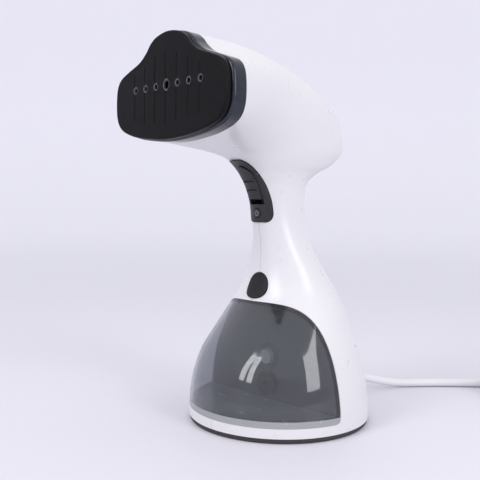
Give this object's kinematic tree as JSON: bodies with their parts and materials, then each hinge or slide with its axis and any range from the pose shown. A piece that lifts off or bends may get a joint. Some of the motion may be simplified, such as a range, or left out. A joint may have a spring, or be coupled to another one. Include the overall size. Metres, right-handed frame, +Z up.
{
  "type": "handheld garment steamer",
  "caption": "Handheld garment steamer: pistol neck on a round base, lobed steam head, smoked slide-off water tank, trigger, release button and mains cord.",
  "frame": {"origin": "centre of the flat foot, on the surface that the steamer stands on", "axes": "+Z up through the neck, -Y the way the steam plate faces, X across the body; X = 0 is the plane of symmetry of the steamer without its cord"},
  "size_m": [0.2249, 0.3249, 0.2429],
  "materials": {
    "white_shell": "satin gloss white ABS",
    "foot": "matt black",
    "smoked_tank": "smoked translucent polycarbonate",
    "clear_rim": "frosted clear grey",
    "silicone": "translucent silicone",
    "seal_rubber": "matt black rubber",
    "dark_plastic": "fine textured dark grey",
    "black_plastic": "fine textured black",
    "red_plastic": "gloss red",
    "blue_plastic": "gloss blue",
    "circuit_green": "solder mask green",
    "plate_coating": "satin black ceramic coating on aluminium",
    "navy_frame": "high gloss blue-black",
    "cast_aluminium": "as cast",
    "plated_metal": "nickel plated",
    "steel": "bright steel",
    "copper": "enamelled copper winding",
    "cord_white": "satin white PVC"
  },
  "bodies": {
    "root": {"housing_left": "white_shell", "housing_right": "white_shell", "foot_cover": "foot", "foot_screw_1": "steel", "foot_screw_2": "steel", "foot_screw_3": "steel", "foot_screw_4": "steel", "tank_socket": "dark_plastic", "pump_body": "dark_plastic", "pump_coil": "copper", "pump_spring": "steel", "pump_bracket": "plated_metal", "inlet_tube": "silicone", "outlet_tube": "silicone", "steam_plate": "plate_coating", "plate_gasket": "seal_rubber", "head_frame": "navy_frame", "steam_chamber": "cast_aluminium", "chamber_cover": "cast_aluminium", "heating_element": "steel", "thermostat": "black_plastic", "thermal_fuse": "silicone", "heat_shield": "plated_metal", "trigger_bezel": "dark_plastic", "trigger_pin": "steel", "trigger_spring": "steel", "power_switch": "black_plastic", "micro_switch": "black_plastic", "release_spring": "steel", "circuit_board": "circuit_green", "board_relay": "black_plastic", "board_capacitor": "blue_plastic", "wire_live": "red_plastic", "wire_neutral": "blue_plastic", "cord_clamp": "white_shell", "strain_relief": "cord_white", "cord": "cord_white", "cord_coil": "cord_white", "plug_body": "cord_white", "plug_pin_left": "plated_metal", "plug_pin_right": "plated_metal"},
    "trigger": {"steam_trigger": "dark_plastic"},
    "plunger": {"switch_plunger": "red_plastic"},
    "power": {"power_button": "dark_plastic"},
    "release": {"release_button": "black_plastic", "release_latch": "dark_plastic"},
    "tank": {"tank_shell": "smoked_tank", "tank_floor": "clear_rim", "valve_body": "dark_plastic", "tank_seal": "seal_rubber", "valve_spring": "steel"},
    "filler_plug": {"tank_plug": "silicone"},
    "poppet": {"valve_poppet": "black_plastic"},
    "piston": {"pump_plunger": "steel"}
  },
  "joints": [
    {"name": "trigger_swing", "type": "hinge", "parent": "root", "child": "trigger", "pos_m": [0, -0.0295, 0.1635], "axis": [1, 0, 0], "range_deg": [0, 8], "stiffness_Nm_per_rad": 0.4, "deforming": ["trigger_spring"]},
    {"name": "plunger_press", "type": "slide", "parent": "root", "child": "plunger", "axis": [0, 1, 0], "range_m": [0, 0.0019]},
    {"name": "power_press", "type": "slide", "parent": "root", "child": "power", "axis": [0, 1, 0], "range_m": [0, 0.0008], "stiffness_N_per_m": 600},
    {"name": "release_press", "type": "slide", "parent": "root", "child": "release", "axis": [0, 1, 0], "range_m": [0, 0.0022], "stiffness_N_per_m": 600, "deforming": ["release_spring"]},
    {"name": "tank_slide", "type": "slide", "parent": "root", "child": "tank", "axis": [0, -1, 0], "range_m": [0, 0.09]},
    {"name": "plug_pull", "type": "slide", "parent": "tank", "child": "filler_plug", "axis": [0, 1, 0], "range_m": [0, 0.006]},
    {"name": "poppet_lift", "type": "slide", "parent": "tank", "child": "poppet", "axis": [0, -1, 0], "range_m": [0, 0.002], "stiffness_N_per_m": 200, "deforming": ["valve_spring"]},
    {"name": "pump_stroke", "type": "slide", "parent": "root", "child": "piston", "axis": [0, 0, 1], "range_m": [0, 0.003], "stiffness_N_per_m": 400, "deforming": ["pump_spring"]}
  ],
  "couplings": [
    {"joint": "plunger_press", "follows": "trigger_swing", "m_per_rad": 0.0132}
  ]
}
